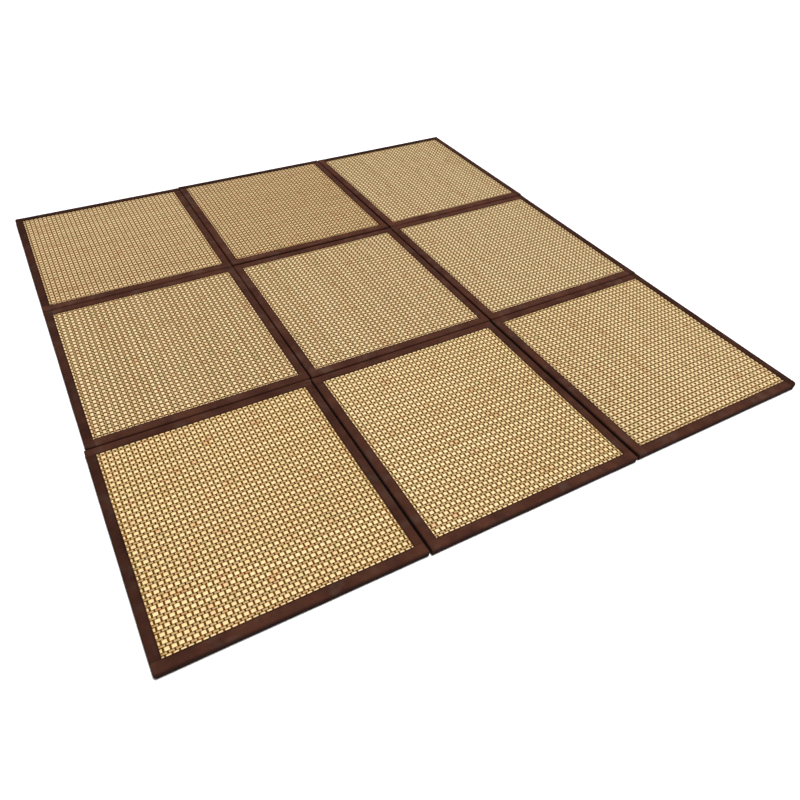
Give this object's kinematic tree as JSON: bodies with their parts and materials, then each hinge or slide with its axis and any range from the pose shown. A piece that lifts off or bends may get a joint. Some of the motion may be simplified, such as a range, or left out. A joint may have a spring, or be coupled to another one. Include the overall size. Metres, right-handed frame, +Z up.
{
  "type": "rattan mat",
  "caption": "Large square floor mat of square woven rattan panels laid edge to edge, each a thin pad with its edges bound in dark brown cloth.",
  "frame": {"origin": "middle of the mat's bounding box, on the underside, where it rests on the floor", "axes": "+Z up out of the floor, through the mat's thickness; +X to the right and +Y to the back along the rows and columns of panels"},
  "size_m": [1.8056, 1.802, 0.018],
  "materials": {
    "woven_rattan": "split rattan wefts, cream and tan by turns, over thin dark warps, satin",
    "binding_cloth": "dark brown tightly woven cotton, matt",
    "pad_cloth": "dark brown felt, matt"
  },
  "bodies": {
    "root": {"back_left_pad": "pad_cloth", "back_left_woven_face": "woven_rattan", "back_left_binding_back": "binding_cloth", "back_left_binding_front": "binding_cloth", "back_left_binding_left": "binding_cloth", "back_left_binding_right": "binding_cloth", "back_middle_pad": "pad_cloth", "back_middle_woven_face": "woven_rattan", "back_middle_binding_back": "binding_cloth", "back_middle_binding_front": "binding_cloth", "back_middle_binding_left": "binding_cloth", "back_middle_binding_right": "binding_cloth", "back_right_pad": "pad_cloth", "back_right_woven_face": "woven_rattan", "back_right_binding_back": "binding_cloth", "back_right_binding_front": "binding_cloth", "back_right_binding_left": "binding_cloth", "back_right_binding_right": "binding_cloth", "middle_left_pad": "pad_cloth", "middle_left_woven_face": "woven_rattan", "middle_left_binding_back": "binding_cloth", "middle_left_binding_front": "binding_cloth", "middle_left_binding_left": "binding_cloth", "middle_left_binding_right": "binding_cloth", "centre_pad": "pad_cloth", "centre_woven_face": "woven_rattan", "centre_binding_back": "binding_cloth", "centre_binding_front": "binding_cloth", "centre_binding_left": "binding_cloth", "centre_binding_right": "binding_cloth", "middle_right_pad": "pad_cloth", "middle_right_woven_face": "woven_rattan", "middle_right_binding_back": "binding_cloth", "middle_right_binding_front": "binding_cloth", "middle_right_binding_left": "binding_cloth", "middle_right_binding_right": "binding_cloth", "front_left_pad": "pad_cloth", "front_left_woven_face": "woven_rattan", "front_left_binding_back": "binding_cloth", "front_left_binding_front": "binding_cloth", "front_left_binding_left": "binding_cloth", "front_left_binding_right": "binding_cloth", "front_middle_pad": "pad_cloth", "front_middle_woven_face": "woven_rattan", "front_middle_binding_back": "binding_cloth", "front_middle_binding_front": "binding_cloth", "front_middle_binding_left": "binding_cloth", "front_middle_binding_right": "binding_cloth", "front_right_pad": "pad_cloth", "front_right_woven_face": "woven_rattan", "front_right_binding_back": "binding_cloth", "front_right_binding_front": "binding_cloth", "front_right_binding_left": "binding_cloth", "front_right_binding_right": "binding_cloth"}
  },
  "joints": []
}
